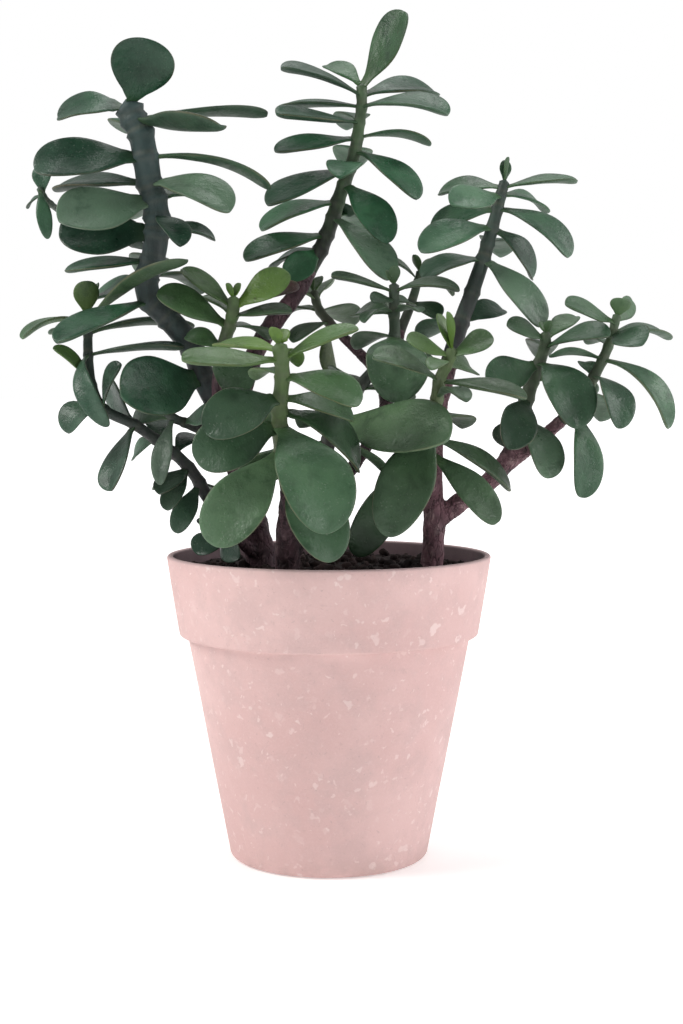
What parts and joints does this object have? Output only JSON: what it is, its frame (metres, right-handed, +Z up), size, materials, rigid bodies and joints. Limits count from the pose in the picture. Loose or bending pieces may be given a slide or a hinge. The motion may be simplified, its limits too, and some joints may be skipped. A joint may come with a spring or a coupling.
{
  "type": "potted jade plant",
  "caption": "Potted jade plant: branching woody trunks with paired thick oval leaves, standing in a flared collared clay pot.",
  "frame": {"origin": "centre of the pot's underside, where it stands on the ground", "axes": "+Z up along the pot's axis, +X to the right and -Y towards the viewer as seen from the front"},
  "size_m": [0.3014, 0.191, 0.3964],
  "materials": {
    "pot": "matte blush-pink fired clay, speckled with off-white flecks and fine tan dots, unglazed",
    "soil": "near-black crumbly potting soil",
    "trunk_left": "grey-brown flaking bark with pale ridges",
    "trunk_right": "grey-brown flaking bark with pale ridges",
    "trunk_front": "grey-brown flaking bark with pale ridges",
    "leafy_stem_left_tall": "thick satin succulent leaves, dark blue-green above, paler grey-green below, thin reddish margins; green stem",
    "leafy_stem_centre_tall": "thick satin succulent leaves, dark blue-green above, paler grey-green below, thin reddish margins; green stem",
    "leafy_stem_right_tall": "thick satin succulent leaves, dark blue-green above, paler grey-green below, thin reddish margins; green stem",
    "leafy_stem_right_outer": "thick satin succulent leaves, dark blue-green above, paler grey-green below, thin reddish margins; green stem",
    "leafy_stem_right_far": "thick satin succulent leaves, dark blue-green above, paler grey-green below, thin reddish margins; green stem",
    "leafy_stem_front_right": "thick satin succulent leaves, dark blue-green above, paler grey-green below, thin reddish margins; green stem",
    "leafy_stem_front": "thick satin succulent leaves, dark blue-green above, paler grey-green below, thin reddish margins; green stem",
    "leafy_stem_left_inner": "thick satin succulent leaves, dark blue-green above, paler grey-green below, thin reddish margins; green stem",
    "leafy_stem_left_outer": "thick satin succulent leaves, dark blue-green above, paler grey-green below, thin reddish margins; green stem",
    "leafy_stem_left_low": "thick satin succulent leaves, dark blue-green above, paler grey-green below, thin reddish margins; green stem",
    "leafy_stem_left_foot": "thick satin succulent leaves, dark blue-green above, paler grey-green below, thin reddish margins; green stem",
    "leafy_stem_centre_back": "thick satin succulent leaves, dark blue-green above, paler grey-green below, thin reddish margins; green stem",
    "leafy_stem_back_small": "thick satin succulent leaves, dark blue-green above, paler grey-green below, thin reddish margins; green stem",
    "leafy_stem_back_middle": "thick satin succulent leaves, dark blue-green above, paler grey-green below, thin reddish margins; green stem"
  },
  "bodies": {
    "root": {"pot": "pot", "soil": "soil", "trunk_left": "trunk_left", "trunk_right": "trunk_right", "trunk_front": "trunk_front", "leafy_stem_left_tall": "leafy_stem_left_tall", "leafy_stem_centre_tall": "leafy_stem_centre_tall", "leafy_stem_right_tall": "leafy_stem_right_tall", "leafy_stem_right_outer": "leafy_stem_right_outer", "leafy_stem_right_far": "leafy_stem_right_far", "leafy_stem_front_right": "leafy_stem_front_right", "leafy_stem_front": "leafy_stem_front", "leafy_stem_left_inner": "leafy_stem_left_inner", "leafy_stem_left_outer": "leafy_stem_left_outer", "leafy_stem_left_low": "leafy_stem_left_low", "leafy_stem_left_foot": "leafy_stem_left_foot", "leafy_stem_centre_back": "leafy_stem_centre_back", "leafy_stem_back_small": "leafy_stem_back_small", "leafy_stem_back_middle": "leafy_stem_back_middle"}
  },
  "joints": []
}
